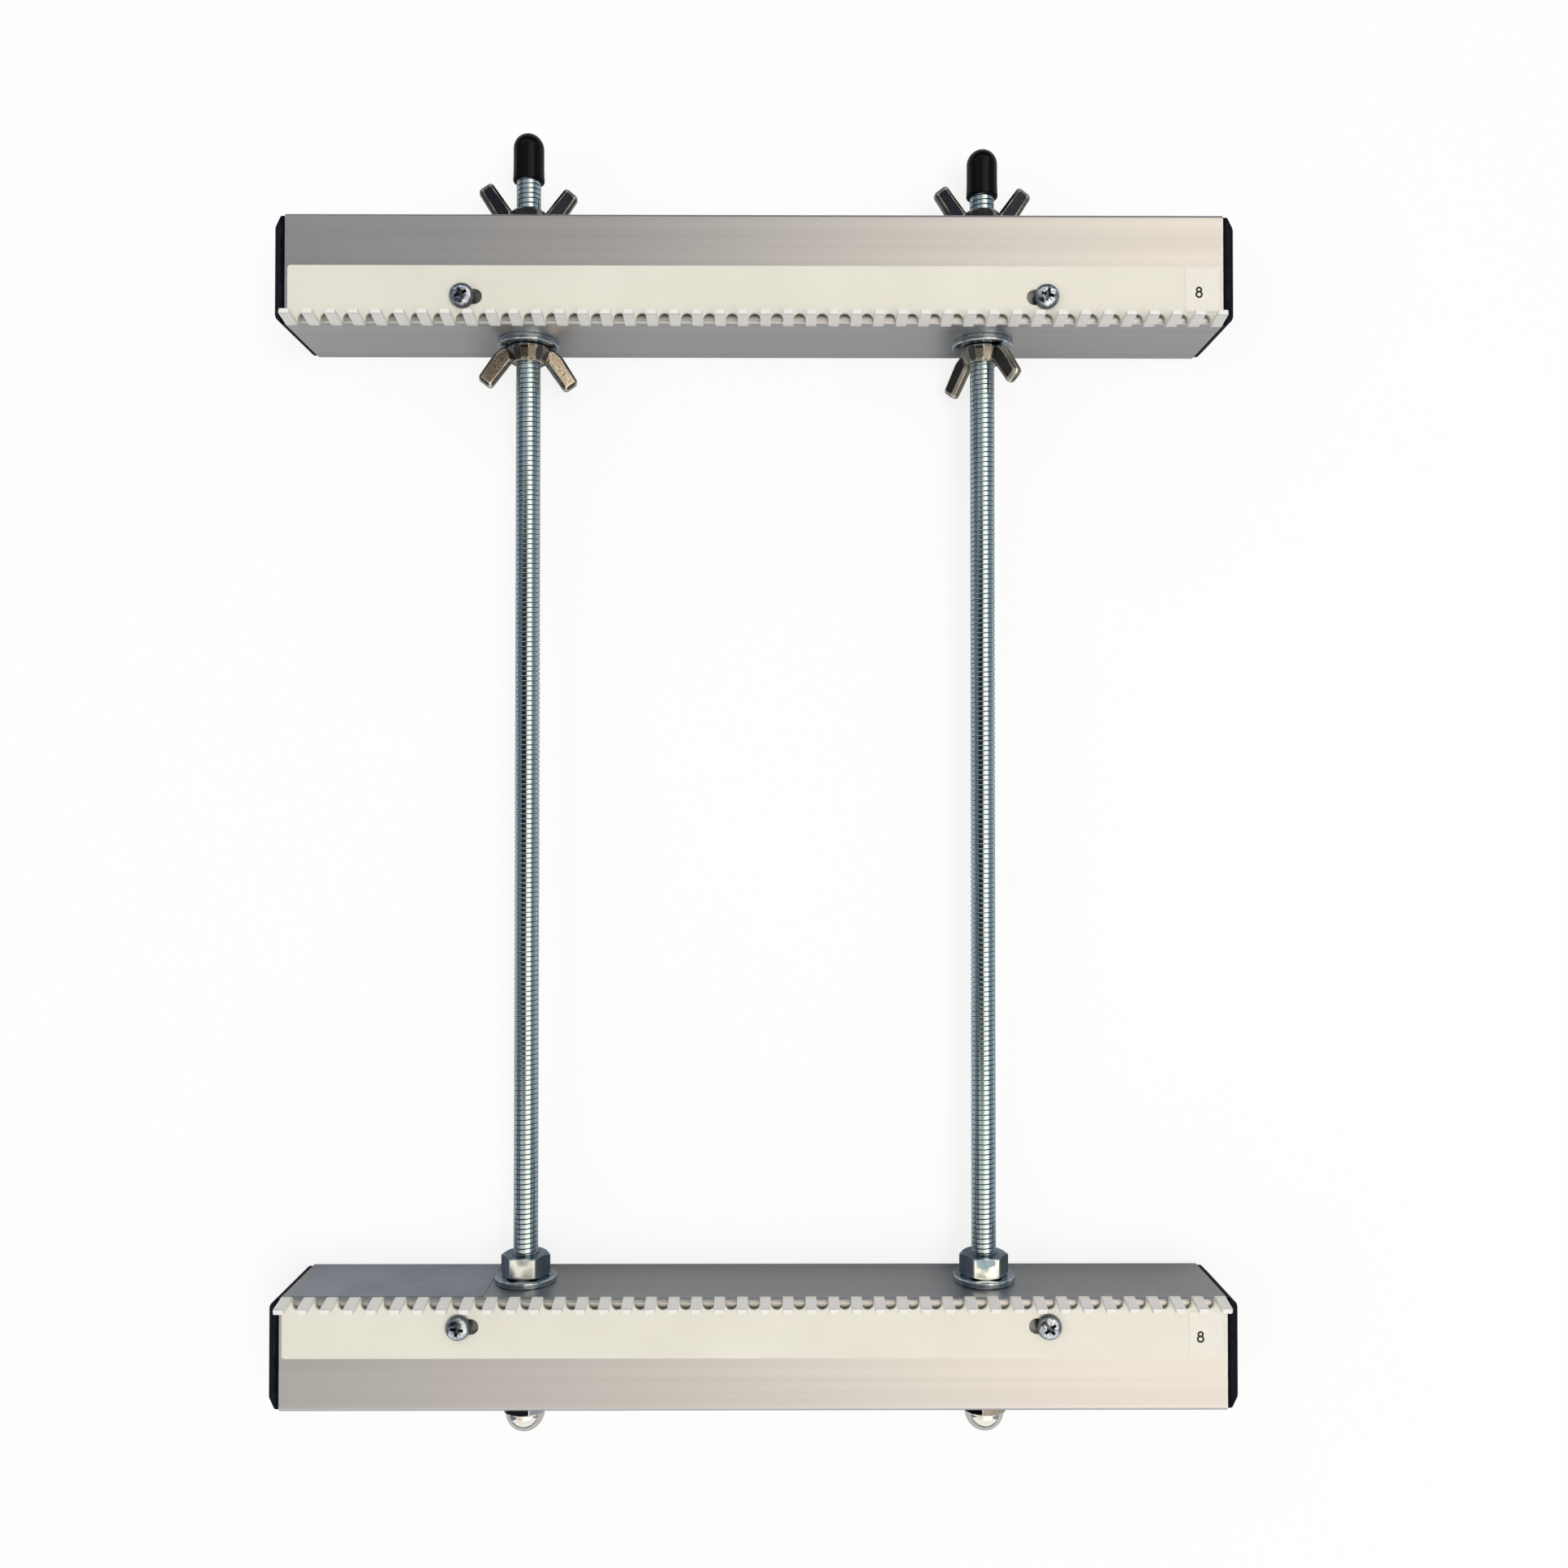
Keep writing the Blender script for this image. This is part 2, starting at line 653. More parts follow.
def end_plug(side):
    bm = lofted([
        (plug_side, tube_corner, 0), (plug_side, tube_corner, plug_lip),
        (plug_side - 2 * plug_slope, tube_corner, plug_lip + plug_slope),
    ])
    off_the_bar = [e for e in sharp_edges(bm, 30) if min(v.co.x for v in e.verts) > 0.1]
    soften(bm, off_the_bar, 0.3, 3)
    skirt = square_pipe(
        (skirt_side, tube_inner_corner), (skirt_side - 2 * skirt_wall, tube_inner_corner),
        skirt_end, plug_lip / 2,
    )
    bm = cut(bm, skirt, "UNION")
    place = Matrix.Translation((side * bar_length / 2, bar_side / 2, bar_side / 2))
    bm.transform(place @ Matrix.Scale(side, 4, (1, 0, 0)))
    return bm


# %% Four plugs
for bar in ("top", "bottom"):
    for side, word in side_words:
        hand_over(
            f"{bar}_end_cap_{word}", end_plug(side), on_bar(bar), f"{bar}_plug_{word}", "plug",
            plug_plastic, flat_faces=True,
        )

# %% [markdown]
# ## Ivory powder coat of the combs
# Baked powder flows, so the coat is glossy with a faint orange peel, a bump that only stirs the
# gloss. It thins over the edges and gathers specks. As photographed, the teeth are whiter than
# the plate, with a thin darker line below their tips. Both are told from the height.

# %% Finish of the combs
ivory = Finish("ivory_powder_coat", IOR=1.5)
peel = ivory.noise(1.3, 2.0)
clouds = ivory.noise(22.0, 4.0)
specks = ivory.noise(0.7, 1.0).share(0.74, 0.80)
ivory_z = ivory.along("Z") / MM
on_tooth = ivory_z.share(29.8, 30.8)
tip_line = ivory_z.share(35.0, 35.2) * (1 - ivory_z.share(35.35, 35.5))
ivory_tone = ivory.layered(
    (0.695, 0.67, 0.58), (clouds.share(0.3, 0.7), (0.735, 0.71, 0.62)),
    (specks * 0.25, (0.36, 0.33, 0.28)), (on_tooth * 0.8, (0.80, 0.79, 0.765)),
    (tip_line * 0.45, (0.40, 0.39, 0.36)), (ivory.worn() * 0.5, (0.83, 0.82, 0.77)),
)
ivory_gloss = 0.30 + clouds * 0.14 + peel * 0.06 - ivory.worn() * 0.08
ivory.wear_this(ivory_tone, ivory_gloss, peel, 0.02, 0.6)

# %% [markdown]
# ## Punching a comb
# A comb is made as in the workshop. First it is punched flat: a row of tooth roots with a half
# round notch between each pair, where `spin` swings one corner of a tooth round to the next.
# Pulling the whole row one way gives the plate. Pulling only the roots the other way, step by
# step along the path of the bend, gives the teeth.

# %% A row of roots and notches
comb_low, comb_high = box_mm("top_comb")
comb_inner = comb_low.y - bar_low.y
comb_outer = comb_high.y - bar_low.y
tooth_count = 42
tooth_width = 2.65
tooth_pitch = (comb_high.x - comb_low.x - tooth_width) / (tooth_count - 1)
notch_width = tooth_pitch - tooth_width
notch_line = 0.95


def punched_row():
    bm = bench()
    for tooth in range(tooth_count):
        left = bm.verts.new((comb_low.x + tooth * tooth_pitch, notch_line, bar_side))
        right = bm.verts.new((left.co.x + tooth_width, notch_line, bar_side))
        bm.edges.new((left, right))
        if tooth < tooth_count - 1:
            middle = (right.co.x + notch_width / 2, notch_line, bar_side)
            bmesh.ops.spin(bm, geom=[right], cent=middle, axis=(0, 0, 1), angle=-math.pi, steps=12)
    bmesh.ops.remove_doubles(bm, verts=bm.verts, dist=0.001)
    return bm


def drawn_out(bm, edges, step):
    """Extrudes edges by one step and returns the new ones, in the same order of work."""
    made = bmesh.ops.extrude_edge_only(bm, edges=edges)["geom"]
    bmesh.ops.translate(bm, verts=points_of(made), vec=step)
    return [e for e in made if isinstance(e, bmesh.types.BMEdge)]


print(tooth_count, "teeth, pitch", round(tooth_pitch, 3), "mm")

# %% [markdown]
# ## Bending and rounding a comb
# The bend is an arc of 100 degrees, so the teeth lean away from the weaving window. `solidify`
# comes after it, which keeps the sheet equally thick round the bend. The free corners of plate
# and tips are rounded first, all other edges after them, and the two long slots are cut last.

# %% Shape of a comb
sheet = 1.2
bend_outside = 1.6
bend_line = comb_inner + bend_outside
tooth_lean = math.radians(10)
tooth_tip_z = comb_high.z
slot_run, slot_width = 3.0, 3.9


def arc(centre, radius, start, end, steps):
    """Points (radius, height) of an arc between two angles in degrees."""
    turns = [math.radians(start + (end - start) * step / steps) for step in range(steps + 1)]
    return [(centre[0] + radius * math.cos(t), centre[1] + radius * math.sin(t)) for t in turns]


def bend_path():
    """Points (y, z) from the notch line round the bend to the tooth's tip, on the sheet's back."""
    points = [(notch_line, bar_side), (bend_line, bar_side)]
    centre = (bend_line, bar_side + bend_outside)
    points += arc(centre, bend_outside, 270, 180 - math.degrees(tooth_lean), 8)[1:]
    foot_y, foot_z = points[-1]
    rise = tooth_tip_z - foot_z
    return points + [(foot_y + rise * math.tan(tooth_lean), foot_z + rise)]


def block(middle, size):
    bm = bench()
    place = Matrix.Translation(middle) @ Matrix.Diagonal((*size, 1))
    bmesh.ops.create_cube(bm, size=1, matrix=place)
    return bm


def slot_cutter(side):
    """A slot that runs inwards from its screw: a block whose upright edges are bevelled round."""
    middle = (side * (screw_axis_x - slot_run / 2), screw_axis_y, bar_side + sheet / 2)
    bm = block(middle, (slot_run + slot_width, slot_width, 3 * sheet))
    rounded(bm, [e for e in bm.edges if span(e, 2) > sheet], slot_width / 2 - 0.001, 10)
    return bm


def bent_comb():
    bm = punched_row()
    whole_row = bm.edges[:]
    roots = [e for e in bm.edges if abs(e.calc_length() - tooth_width) < 0.01]
    shoulder = drawn_out(bm, whole_row, (0, 0, 0))
    shoulder_y = comb_outer / 3
    for point in {v for e in shoulder for v in e.verts}:
        point.co.y = shoulder_y
    drawn_out(bm, shoulder, (0, comb_outer - shoulder_y, 0))
    path = bend_path()
    for (y0, z0), (y1, z1) in zip(path, path[1:]):
        roots = drawn_out(bm, roots, (0, y1 - y0, z1 - z0))
    bmesh.ops.solidify(facing_out(bm), geom=bm.faces[:], thickness=sheet)
    return bm


def through_sheet(bm, inside):
    """Edges that cross the sheet's thickness where inside(point) is true for both ends."""
    crossing = [e for e in bm.edges if abs(e.calc_length() - sheet) < 0.03]
    return [e for e in crossing if all(inside(v.co) for v in e.verts)]


def comb():
    bm = bent_comb()
    end_x = comb_high.x - 0.01
    plate_corners = through_sheet(bm, lambda p: p.y > comb_outer - 0.01 and abs(p.x) > end_x)
    rounded(bm, plate_corners, 0.8, 5)
    rounded(bm, through_sheet(bm, lambda p: p.z > tooth_tip_z - 0.4), 0.45, 3)
    soften(bm, sharp_edges(bm, 50), 0.16)
    for side, _ in side_words:
        bm = cut(bm, slot_cutter(side))
    return bm


# %% Two combs
for bar in ("top", "bottom"):
    node = f"{bar}_comb"
    hand_over(f"{bar}_toothed_comb", comb(), on_bar(bar), node, "comb", ivory, flat_faces=True)

# %% [markdown]
# ## Zinc of the rods
# The rods' bright zinc is a bluish grey mirror. Oil and dust stay in the thread, so its roots are
# darker and duller than the crests that the nuts rub. How deep a point lies in the thread is its
# distance from the nearer rod's axis.

# %% Finish of the rods
rod_low, rod_high = box_mm("rod_left")
rod_radius = (rod_high.x - rod_low.x) / 2
thread_depth = 0.46
zinc_rod = Finish("zinc_thread", Metallic=1.0)
from_axis_x = abs(zinc_rod.along("X")) - rod_axis_x * MM
from_axis_z = zinc_rod.along("Z") - rod_axis_z * MM
squares = from_axis_x * from_axis_x + from_axis_z * from_axis_z
from_axis = squares.math("SQRT", squares)
crest = from_axis.share((rod_radius - thread_depth) * MM, (rod_radius - 0.12) * MM)
grime = zinc_rod.noise(7.0, 3.0)
zinc_tone = zinc_rod.layered(
    (0.34, 0.42, 0.47), (crest, (0.53, 0.64, 0.67)),
    (grime.share(0.45, 0.8) * 0.3, (0.36, 0.40, 0.43)),
)
zinc_gloss = 0.28 - crest * 0.16 + grime * 0.06
zinc_rod.wear_this(zinc_tone, zinc_gloss, zinc_rod.noise(0.3, 2.0), 0.008, 0.6)

# %% [markdown]
# ## Cutting a thread
# A thread could be a bump, but a bump doesn't show in the outline, and the rods stand before white
# paper. So it is real: one outline of roots and crests along the whole rod, spun once round the
# axis while it climbs by one pitch. It then meets itself exactly and closes without a seam. Both
# ends are sawn off flat and turned down a little, so that a nut finds its start.

# %% A threaded bar
thread_pitch = 25.4 / 20
thread_steps = 44
rod_bevel = 0.7
crest_edge = 0.045
thread_outline = (
    (0.0, thread_depth), (0.04, thread_depth), (0.11, crest_edge),
    (0.17, 0.0), (0.87, 0.0), (0.93, crest_edge),
)


def threaded(radius, length):
    """A rod from 0 to length. Its outline is pairs (share of a pitch, depth)."""
    bm = bench()
    points = [
        bm.verts.new((radius - depth, 0, (turn - 1 + share) * thread_pitch))
        for turn in range(math.ceil(length / thread_pitch) + 2) for share, depth in thread_outline
    ]
    flanks = [bm.edges.new(pair) for pair in zip(points, points[1:])]
    bmesh.ops.spin(
        bm, geom=points + flanks, cent=(0, 0, 0), axis=(0, 0, 1), angle=math.tau,
        dvec=(0, 0, thread_pitch / thread_steps), steps=thread_steps, use_merge=False,
    )
    bmesh.ops.remove_doubles(bm, verts=bm.verts, dist=2e-3)
    for height, outwards in ((0, -1), (length, 1)):
        bmesh.ops.bisect_plane(
            bm, geom=bm.verts[:] + bm.edges[:] + bm.faces[:], dist=1e-4, plane_co=(0, 0, height),
            plane_no=(0, 0, outwards), clear_outer=True,
        )
        open_edges = [e for e in bm.edges if e.is_boundary]
        rim = [e for e in open_edges if all(abs(v.co.z - height) < 1e-3 for v in e.verts)]
        bmesh.ops.holes_fill(bm, edges=rim, sides=0)
    for point in bm.verts:
        from_end = min(point.co.z, length - point.co.z)
        reach = math.hypot(point.co.x, point.co.y)
        held = radius - rod_bevel + from_end
        if from_end < rod_bevel and reach > held:
            point.co.x *= held / reach
            point.co.y *= held / reach
    return bm


# %% Two rods
hand_over_pair("rod", "threaded_", threaded, "rod", zinc_rod, crease=24)

# %% [markdown]
# ## Zinc of washers and hex nuts
# These are plated in a drum, so they carry dents, fine scratches and a cloudy blue: noise of three
# sizes, stretched for the scratches. The nuts are darker, but for the flat that faces out. It
# catches the light in the photograph, so it has a bright cloudy tone.

# %% Finish of washers and hex nuts
zinc = Finish("drum_plated_zinc", Metallic=1.0)
plate_clouds = zinc.noise(3.0, 4.0)
scratches = zinc.noise(0.35, 2.0, (6, 1, 1))
zinc_tone = zinc.layered(
    (0.26, 0.32, 0.37), (plate_clouds.share(0.3, 0.72), (0.40, 0.46, 0.50)),
    (zinc.worn() * 0.8, (0.82, 0.85, 0.87)),
)
zinc_gloss = 0.13 + plate_clouds * 0.12 + scratches * 0.05
zinc.wear_this(zinc_tone, zinc_gloss, scratches * 0.03 + zinc.noise(3.0, 1.0), 0.22)

nut_zinc = Finish("bright_spot_zinc", Metallic=1.0)
nut_clouds = nut_zinc.noise(4.5, 1.0)
outer_flat = (nut_zinc.along("Z") / MM - rod_axis_z).share(5.0, 5.3)
flat_tone = nut_zinc.blend(nut_clouds.share(0.40, 0.54), (0.22, 0.30, 0.36), (1.0, 1.0, 0.92))
nut_tone = nut_zinc.layered(
    (0.13, 0.17, 0.22), (nut_clouds.share(0.3, 0.7), (0.22, 0.27, 0.32)),
    (outer_flat, flat_tone), (nut_zinc.worn() * 0.6, (0.66, 0.72, 0.76)),
)
nut_zinc.wear_this(nut_tone, 0.14 + nut_clouds * 0.10, nut_clouds, 0.25)

# %% [markdown]
# ## Washers
# A washer could be punched from a disc with a boolean, but the lathe makes it at once and cleanly
# from a four-cornered outline. Its rolled edges are then filed round.

# %% Six washers
def turned(profile, steps=48):
    """Turns a closed outline of (radius, height) pairs about Z, as on a lathe."""
    bm = bench()
    points = [bm.verts.new((radius, 0, height)) for radius, height in profile]
    pairs = zip(points, points[1:] + points[:1])
    rims = [bm.edges.new(pair) for pair in pairs if pair[0].co.x or pair[1].co.x]
    bmesh.ops.spin(
        bm, geom=points + rims, cent=(0, 0, 0), axis=(0, 0, 1), angle=math.tau, steps=steps,
        use_merge=True,
    )
    bmesh.ops.remove_doubles(bm, verts=bm.verts, dist=1e-5)
    return facing_out(bm)


def washer(radius, thick):
    bm = turned([(rod_hole / 2, 0), (radius, 0), (radius, thick), (rod_hole / 2, thick)], 64)
    soften(bm, sharp_edges(bm, 60), 0.42, 4)
    return bm


for kind in ("hex_washer", "lower_washer", "upper_washer"):
    hand_over_pair(kind, "flat_", washer, "washer", zinc)

# %% [markdown]
# ## Hexagons from the lathe
# A nut's corners are turned down by a cone, which leaves curved edges on its six flats. So it is
# made as in the factory: a round blank with a cone at each end, and of that what it shares with a
# hexagonal bar, a boolean intersection.

# %% Hexagon tools
hexagon_across = 11.11
hexagon_corner = hexagon_across / 2 / math.cos(math.pi / 6)
nut_bore = rod_radius + 0.05
countersink = 1.4


def hexagon(height):
    """A chamfered hexagon from 0 to height with a corner on X."""
    washer_face = hexagon_across / 2 - 0.15
    drop = (hexagon_corner - washer_face) * math.tan(math.radians(30))
    outline = [(0, 0), (washer_face, 0), (hexagon_corner, drop)]
    outline += [(hexagon_corner, height - drop), (washer_face, height), (0, height)]
    place = Matrix.Translation((0, 0, height / 2)) @ Matrix.Rotation(math.pi / 6, 4, "Z")
    bar_stock = stub(hexagon_corner, height + 2, place, 6)
    soften(bar_stock, [e for e in bar_stock.edges if span(e, 2) > 1], 0.2)
    return cut(turned(outline, 96), bar_stock, "INTERSECT")


def bored(bm, height, blind=0.0):
    """Cuts a bore that is countersunk at its foot, and also at its top where it isn't blind."""
    depth = height - blind
    wide = nut_bore + countersink
    bore = [(0, -1), (wide, -1), (nut_bore, 0.4)]
    if blind:
        bore += [(nut_bore, depth), (0, depth)]
    else:
        bore += [(nut_bore, depth - 0.4), (wide, depth + 1), (0, depth + 1)]
    return cut(bm, turned(bore, 48))


# %% Two hex nuts
def hex_nut(radius, height):
    return bored(hexagon(height), height)


hand_over_pair("hex_nut", "pressed_", hex_nut, "hex_nut", nut_zinc, flat_faces=True)

# %% [markdown]
# ## Nickel of the acorn nuts
# The acorn nuts are the feet of the standing loom, polished and plated to a warm, nearly clean
# mirror. What their flats mirror in the photograph is given as tones: nearly black left of a
# seam, and right of it pale on the left nut and brown on the right one.

# %% Finish of the acorn nuts
nickel = Finish("bright_nickel", Metallic=1.0)
nickel_clouds = nickel.noise(4.0, 3.0)
hexagon_end = box_mm("acorn_nut_left")[1].y - 5.0
on_hexagon = (nickel.along("Y") / MM - hexagon_end).share(-0.1, 0.1)
nickel_x = nickel.along("X")
side_sign = nickel_x.math("SIGN", nickel_x)
from_rod = (nickel_x - side_sign * (rod_axis_x * MM)) / MM
seam_middle, seam_shift = 0.3, 1.6
right_of_seam = (from_rod - (seam_middle - side_sign * seam_shift)).share(-0.05, 0.05)
right_tone = nickel.blend(nickel_x.share(-0.01, 0.01), (0.85, 0.80, 0.74), (0.36, 0.325, 0.28))
nickel_tone = nickel.layered(
    (0.80, 0.765, 0.69), (nickel_clouds.share(0.3, 0.75), (0.93, 0.90, 0.82)),
    (on_hexagon, nickel.blend(right_of_seam, (0.012, 0.014, 0.018), right_tone)),
    (nickel.worn() * 0.8, (0.90, 0.88, 0.84)),
)
nickel_relief = nickel.noise(0.5, 2.0, (5, 1, 1)) * 0.1 + nickel_clouds
nickel_gloss = 0.06 + nickel_clouds * 0.06 + on_hexagon * 0.1
nickel.wear_this(nickel_tone, nickel_gloss, nickel_relief, 0.06, 0.8)

# %% [markdown]
# ## Acorn nuts
# A hexagon's top runs on into a neck and a round crown. The two outlines share no points, so a
# boolean joins them. The bore is blind, because the nut closes the rod's lower end.

# %% Two acorn nuts
def acorn_nut(height):
    hexagon_height, crown = 4.8, 5.0
    outline = [(0, 1), (crown, 1), (crown, hexagon_height - 0.1)]
    outline += [(crown + 0.1, hexagon_height - 0.05), (crown, hexagon_height + 0.15)]
    outline += arc((0, height - crown), crown, 0, 90, 20)
    outline[-1] = (0, height)
    return bored(cut(hexagon(hexagon_height), turned(outline, 96), "UNION"), height, 1.4)


for word, turn in (("left", 12), ("right", -18)):
    node = "acorn_nut_" + word
    low, high = box_mm(node)
    place = on_rod(node, -1) @ Matrix.Rotation(math.radians(turn), 4, "Z")
    nut = acorn_nut(high.y - low.y)
    hand_over("polished_" + node, nut, place, node, "acorn_nut", nickel, flat_faces=True)

# %% [markdown]
# ## Steel of the comb screws
# The screws' plate is a little bluer and duller than the nuts'. Dirt darkens the cross below the
# top of the head, which is told from the height.

# %% Finish of the screws
steel = Finish("screw_steel", Metallic=1.0)
in_cross = 1 - (steel.along("Z") / MM - screw_high.z).share(-1.0, -0.3)
steel_clouds = steel.noise(1.8, 4.0)
steel_tone = steel.layered(
    (0.24, 0.28, 0.35), (steel_clouds.share(0.3, 0.7), (0.66, 0.71, 0.76)),
    (steel.worn() * 0.7, (0.84, 0.87, 0.90)), (in_cross * 0.85, (0.03, 0.035, 0.05)),
)
steel_relief = steel.noise(0.28, 2.0) * 0.06 + steel.noise(1.6, 1.0)
steel.wear_this(steel_tone, 0.12 + steel_clouds * 0.14, steel_relief, 0.16)

# %% [markdown]
# ## Comb screws
# Head and grooved shank are turned from one outline. The cross could be painted, but only real
# walls catch the light, so two wedges and a cone cut it. Four thin ticks are pressed in between
# its arms, as on the screws in the photograph.

# %% Shape of a screw
head_radius = (screw_high.x - screw_low.x) / 2
head_height = screw_high.z - bar_side - sheet
shank_length = bar_side + sheet - screw_low.z
shank, core, shank_tip, groove = 1.75, 1.35, 1.2, 1.06


def wedge(length, width, depth, turn):
    """A cutter that is narrower at its foot, standing in the head's top."""
    bm = block((0, 0, 0), (length, width, 2 * depth))
    foot = [v for v in bm.verts if v.co.z < 0]
    bmesh.ops.scale(bm, verts=foot, vec=(0.62, 0.55, 1))
    turned_round = Matrix.Rotation(math.radians(turn), 4, "Z")
    bm.transform(turned_round @ Matrix.Translation((0, 0, head_height)))
    return bm


def comb_screw():
    outline = [(0, -shank_length), (core * 0.7, -shank_length)]
    for turn in range(int((shank_length - shank_tip - 0.5) / groove)):
        foot = shank_tip - shank_length + turn * groove
        outline += [(core, foot), (shank, foot + groove / 2)]
    outline += [(core, -0.5), (shank, 0), (head_radius, 0), (head_radius, 0.55)]
    outline += arc((head_radius - 1.25, 0.85), 1.25, 0, 72, 6)
    outline += [(head_radius - 1.6, head_height - 0.02), (0, head_height)]
    bm = turned(outline, 48)
    for turn in (0, 90):
        bm = cut(bm, wedge(4.1, 1.05, 1.35, turn))
    for turn in (45, 135):
        bm = cut(bm, wedge(3.9, 0.3, 0.4, turn))
    return cut(bm, stub(0.45, 1.5, Matrix.Translation((0, 0, head_height - 0.75 + 0.02)), 16, 1.0))


# %% Four screws
recess_turns = {("top", -1): 24, ("top", 1): -14, ("bottom", -1): 8, ("bottom", 1): 52}
for (bar, side), turn in recess_turns.items():
    word = dict(side_words)[side]
    place = on_bar(bar) @ Matrix.Translation((side * screw_axis_x, screw_axis_y, bar_side + sheet))
    place = place @ Matrix.Rotation(math.radians(turn), 4, "Z")
    node = f"{bar}_comb_screw_{word}"
    hand_over(f"{bar}_pan_screw_{word}", comb_screw(), place, node, "comb_screw", steel)

# %% [markdown]
# ## Soft vinyl of the tip caps
# Dipping leaves a wet gloss with slow waves in it, so a highlight runs down the cap with a
# wavering edge, and a little dust clings to it. The waves are a bump, because the cap's mesh is
# too coarse to carry them.

# %% Finish of the tip caps
vinyl = Finish("dipped_black_vinyl", Specular_IOR_Level=0.12)
dip_waves = vinyl.noise(2.6, 2.0, (1, 1.8, 1))
dust = vinyl.noise(0.5, 2.0).share(0.70, 0.78)
vinyl_tone = vinyl.blend(dust * 0.3, (0.003, 0.003, 0.004), (0.04, 0.04, 0.045))
vinyl.wear_this(vinyl_tone, 0.08 + dip_waves * 0.06, dip_waves, 0.14, 0.8)

# %% [markdown]
# ## Tip caps
# A cap keeps the rod's sharp end away from hands and yarn: a thin wall with a bead at the rim,
# where the dip ran down, and a much thicker round end. Inside and outside are one outline on the
# lathe, so the wall has its true thickness everywhere.

# %% Two tip caps
def tip_cap(radius, length):
    wall_radius = radius - 0.12
    bead = 0.45
    bore_end = length - 2.4
    outline = [(nut_bore, 0.15), (nut_bore + 0.15, 0)]
    outline += arc((radius - bead, bead), bead, -90, 0, 6)
    outline += [(wall_radius + 0.06, 3.5 * bead), (wall_radius, 9 * bead)]
    outline += [(wall_radius, length * 0.5)]
    outline += arc((0, length - wall_radius), wall_radius, 0, 90, 14)
    outline[-1] = (0, length)
    outline += [(0, bore_end), (nut_bore - rod_bevel, bore_end), (nut_bore, bore_end - rod_bevel)]
    return turned(outline, 48)


hand_over_pair("tip_cap", "vinyl_", tip_cap, "tip_cap", vinyl, crease=40)

# %% [markdown]
# ## Cast nickel of the wing nuts
# The nuts are cast, tumbled and plated. Fingers have polished the edges to a light, warm metal,
# while the broad faces stay dark and grainy. As photographed, the upper pair is nearly black, the
# lower left nut warm and pitted with a brighter right wing, and the lower right nut grey. Wear is
# a point attribute here, because the cast mesh is fine enough to carry it.

# %% Finishes of the wing nuts
def cast_nickel(name, pits, peaks, body, sparkle, polished=1.0):
    """Cast nickel; pits and peaks are the two tones of a wing's grainy broad face."""
    cast = Finish(name, Metallic=1.0)
    casting_grain = cast.noise(0.23, 2.0)
    tarnish = cast.noise(3.5, 4.0)
    broad_face = (cast.marked("grain") + (tarnish - 0.5) * 0.3).share(0.35, 0.65)
    rubbed = (cast.marked("wear") + (tarnish - 0.5) * 0.5).share(0.25, 0.7)
    rods_apart = cast.along("X") / (2 * rod_axis_x * MM) + 1.0
    right_wing = rods_apart.math("FRACT", rods_apart).share(0.5, 0.502)
    bright_peaks = tuple(polished * part for part in peaks)
    grain_tone = cast.layered(
        pits, (casting_grain.share(0.45, 0.65) * sparkle, peaks),
        (casting_grain.share(0.36, 0.52) * right_wing * sparkle, bright_peaks),
    )
    tone = cast.layered(
        body, (tarnish.share(0.3, 0.7), tuple(1.7 * part for part in body)),
        (broad_face, grain_tone), (rubbed * 0.9, (0.92, 0.86, 0.74)),
    )
    gloss = 0.13 + broad_face * 0.10 + tarnish * 0.06 - rubbed * 0.04
    cast.wear_this(tone, gloss, casting_grain * (0.1 + broad_face * 0.9) + tarnish * 0.4, 0.07, 0.8)
    return cast


dark_nickel = cast_nickel(
    "dark_cast_nickel", (0.010, 0.012, 0.018), (0.035, 0.04, 0.05), (0.17, 0.16, 0.145), 0.6
)
warm_nickel = cast_nickel(
    "warm_cast_nickel", (0.07, 0.058, 0.045), (0.38, 0.33, 0.26), (0.13, 0.115, 0.09), 0.7, 2.4
)
grey_nickel = cast_nickel(
    "grey_cast_nickel", (0.055, 0.052, 0.048), (0.13, 0.12, 0.105), (0.15, 0.14, 0.12), 0.6
)

# %% [markdown]
# ## Casting a wing nut
# A casting has no sharp edge, and its wings grow out of the hub with a fillet. So a turned hub and
# two pressed wings with a wide chamfer are melted together by a fine voxel remesh and a little
# smoothing. The bore is drilled after that, which leaves it crisp.

# %% Shape of a wing nut
wing_span = 26.0
wing_height = 11.4
wing_thick = 3.0
wing_chamfer = 0.75
hub_foot, hub_top, hub_height = 11.2, 8.9, 4.3
wing_shares = [
    (0.24, 0.05), (0.42, 0.012), (0.52, 0.04), (0.67, 0.18),
    (1.0, 0.765), (0.735, 0.995), (0.34, 0.38), (0.24, 0.34),
]


def wing(side):
    bm = bench()
    places = [(side * x * wing_span / 2, -wing_thick / 2, z * wing_height) for x, z in wing_shares]
    corners = [bm.verts.new(place) for place in places]
    bm.faces.new(corners)
    rounded(bm, corners[4:6], 0.9, 4, "VERTICES")
    pressed(bm, bm.faces[:], (0, wing_thick, 0))
    rims = [e for e in sharp_edges(bm, 60) if span(e, 1) < 0.01]
    rounded(bm, rims, wing_chamfer, 1, clamp=True)
    return bm


